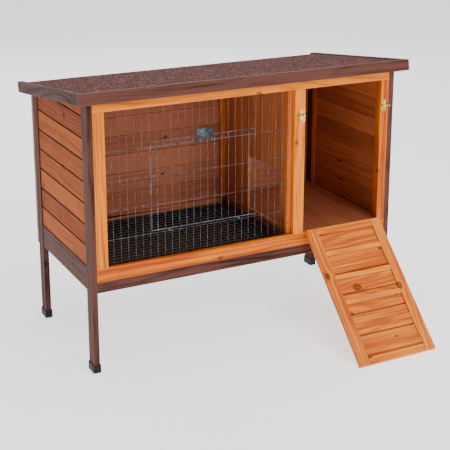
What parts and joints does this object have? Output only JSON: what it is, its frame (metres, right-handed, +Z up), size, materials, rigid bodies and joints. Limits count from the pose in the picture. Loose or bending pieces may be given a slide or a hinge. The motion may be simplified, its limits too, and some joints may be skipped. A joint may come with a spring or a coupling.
{
  "type": "rabbit hutch",
  "caption": "Single-storey timber rabbit hutch with a wire-fronted run, a nest room whose front drops as a ramp, a pull-out pan and a hinged felted roof",
  "frame": {"origin": "on the ground under the middle of the whole hutch, from the ramp's foot to the roof's back edge", "axes": "+X to the right along the front, +Y to the back, +Z up"},
  "size_m": [1.18, 0.9338, 0.9136],
  "materials": {
    "dark_stained_wood": "dark brown stain, satin",
    "honey_frame_wood": "honey stain, satin varnish",
    "chestnut_planks": "chestnut stained fir, satin",
    "ramp_wood": "honey stained fir, satin",
    "plywood": "stained plywood",
    "roof_felt": "mineral granules on bitumen felt",
    "galvanised_wire": "galvanised welded wire",
    "black_mesh": "black coated welded mesh",
    "black_plastic": "black moulded plastic",
    "zinc_steel": "zinc plated steel",
    "brass": "pale polished brass",
    "dark_screw": "browned steel screw heads"
  },
  "bodies": {
    "hutch_body": {"leg_front_left": "dark_stained_wood", "leg_front_right": "dark_stained_wood", "leg_rear_left": "dark_stained_wood", "leg_rear_right": "dark_stained_wood", "foot_caps": "black_plastic", "side_rail_left": "dark_stained_wood", "side_rail_right": "dark_stained_wood", "front_lower_rail": "dark_stained_wood", "sill_rail": "honey_frame_wood", "head_rail": "honey_frame_wood", "left_stile": "honey_frame_wood", "middle_stile": "honey_frame_wood", "right_stile": "honey_frame_wood", "left_wall_planks": "chestnut_planks", "right_wall_planks": "chestnut_planks", "side_wall_battens": "honey_frame_wood", "back_wall_planks": "chestnut_planks", "rear_top_rail": "honey_frame_wood", "leg_screws": "dark_screw", "floor_ledgers": "honey_frame_wood", "centre_bearer": "dark_stained_wood", "mesh_floor": "black_mesh", "nest_floor": "plywood", "partition": "plywood", "partition_battens": "honey_frame_wood", "pan_runners": "dark_stained_wood", "wire_panel": "galvanised_wire", "panel_staples": "galvanised_wire", "door_hinge_clips": "zinc_steel", "left_latch_plate": "brass", "right_latch_plate": "brass", "latch_screws": "brass", "ramp_hinge_fixed_leaves": "zinc_steel", "ramp_hinge_pins": "zinc_steel", "roof_hinge_fixed_leaves": "zinc_steel", "roof_hinge_pins": "zinc_steel", "hook_catch_eye": "zinc_steel"},
    "roof": {"roof_deck": "plywood", "roof_felt": "roof_felt", "front_fascia": "dark_stained_wood", "side_fascia_left": "dark_stained_wood", "side_fascia_right": "dark_stained_wood", "roof_battens": "honey_frame_wood", "roof_hinge_moving_leaves": "zinc_steel", "fascia_screws": "dark_screw", "roof_hook_eye": "zinc_steel"},
    "hook": {"roof_hook": "zinc_steel"},
    "ramp_door": {"ramp_stile_left": "ramp_wood", "ramp_stile_right": "ramp_wood", "ramp_rails": "ramp_wood", "ramp_planks": "ramp_wood", "ramp_cleats": "ramp_wood", "ramp_hinge_moving_leaves": "zinc_steel"},
    "front_door": {"wire_door": "galvanised_wire", "latch_keepers": "zinc_steel"},
    "latch_slide": {"door_latch": "zinc_steel"},
    "left_lever": {"left_latch_lever": "brass"},
    "right_lever": {"right_latch_lever": "brass"},
    "pan": {"waste_pan": "black_plastic"}
  },
  "joints": [
    {"name": "roof_hinge", "type": "hinge", "parent": "hutch_body", "child": "roof", "pos_m": [0, 0.43535, 0.82472], "axis": [-1, 0, 0], "range_deg": [0, 75]},
    {"name": "hook_swing", "type": "hinge", "parent": "roof", "child": "hook", "pos_m": [0.36, -0.00486, 0.85183], "axis": [-1, 0, 0], "range_deg": [-60, 65]},
    {"name": "ramp_hinge", "type": "hinge", "parent": "hutch_body", "child": "ramp_door", "pos_m": [0, -0.10605, 0.347], "axis": [-1, 0, 0], "range_deg": [0, 135.11]},
    {"name": "wire_door_hinge", "type": "hinge", "parent": "hutch_body", "child": "front_door", "pos_m": [0, -0.09145, 0.44], "axis": [1, 0, 0], "range_deg": [0, 165]},
    {"name": "door_latch_slide", "type": "slide", "parent": "front_door", "child": "latch_slide", "axis": [0, 0, 1], "range_m": [-0.01, 0]},
    {"name": "left_lever_turn", "type": "hinge", "parent": "hutch_body", "child": "left_lever", "pos_m": [0.197, -0.10785, 0.755], "axis": [0, 1, 0], "range_deg": [0, 180]},
    {"name": "right_lever_turn", "type": "hinge", "parent": "hutch_body", "child": "right_lever", "pos_m": [0.513, -0.10785, 0.755], "axis": [0, -1, 0], "range_deg": [0, 180]},
    {"name": "pan_slide", "type": "slide", "parent": "hutch_body", "child": "pan", "axis": [0, 1, 0], "range_m": [0, 0.42]}
  ]
}
